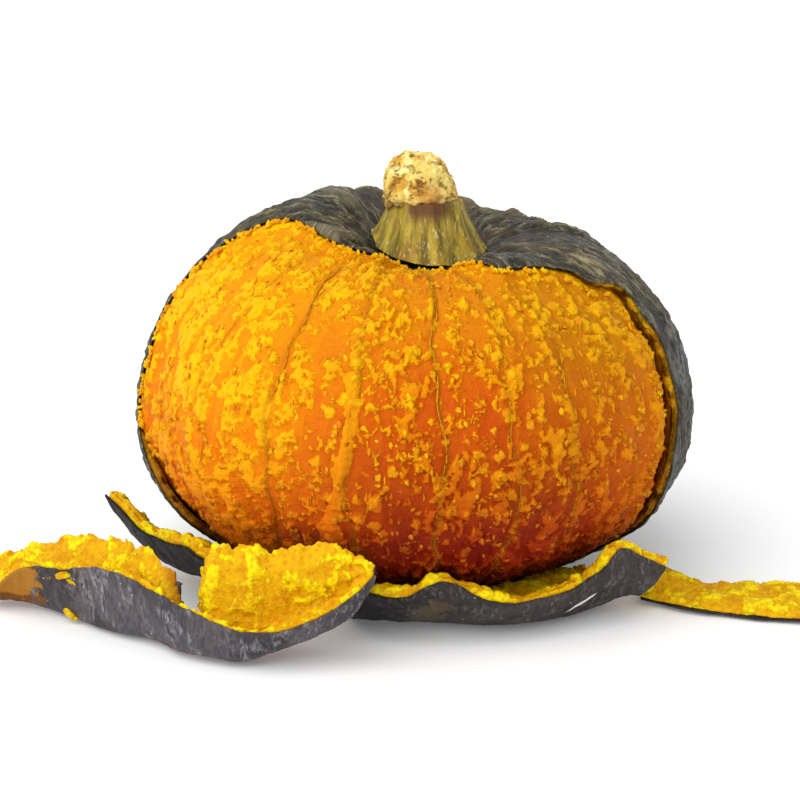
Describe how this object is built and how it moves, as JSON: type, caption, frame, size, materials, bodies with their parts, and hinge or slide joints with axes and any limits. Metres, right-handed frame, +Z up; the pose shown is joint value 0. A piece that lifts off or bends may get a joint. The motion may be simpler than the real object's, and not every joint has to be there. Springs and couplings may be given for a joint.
{
  "type": "kabocha squash",
  "caption": "Cooked kabocha squash with the front of its dark rind torn away from orange flesh, a corky stem on top, and torn peel lying around its foot.",
  "frame": {"origin": "middle of the flat spot the squash stands on, on the floor under its axis", "axes": "+Z up along the fruit's axis, +X along the row of torn peel to the right as seen from the peeled side, +Y away from the peeled side"},
  "size_m": [0.253, 0.1857, 0.1357],
  "materials": {
    "flesh": "moist, crumbly cooked flesh",
    "rind": "wrinkled, waxy satin rind",
    "stem_green": "ribbed dry green stem",
    "stem_cork": "matt pitted cork",
    "peel_skin": "wrinkled, waxy satin rind",
    "peel_flesh": "matt crumbly cooked flesh"
  },
  "bodies": {
    "root": {"flesh": "flesh", "rind": "rind", "stem_foot": "stem_green", "stem_cork": "stem_cork", "peel_left_skin": "peel_skin", "peel_left_flesh": "peel_flesh", "peel_back_skin": "peel_skin", "peel_back_flesh": "peel_flesh", "peel_front_skin": "peel_skin", "peel_front_flesh": "peel_flesh", "peel_right_skin": "peel_skin", "peel_right_flesh": "peel_flesh"}
  },
  "joints": []
}
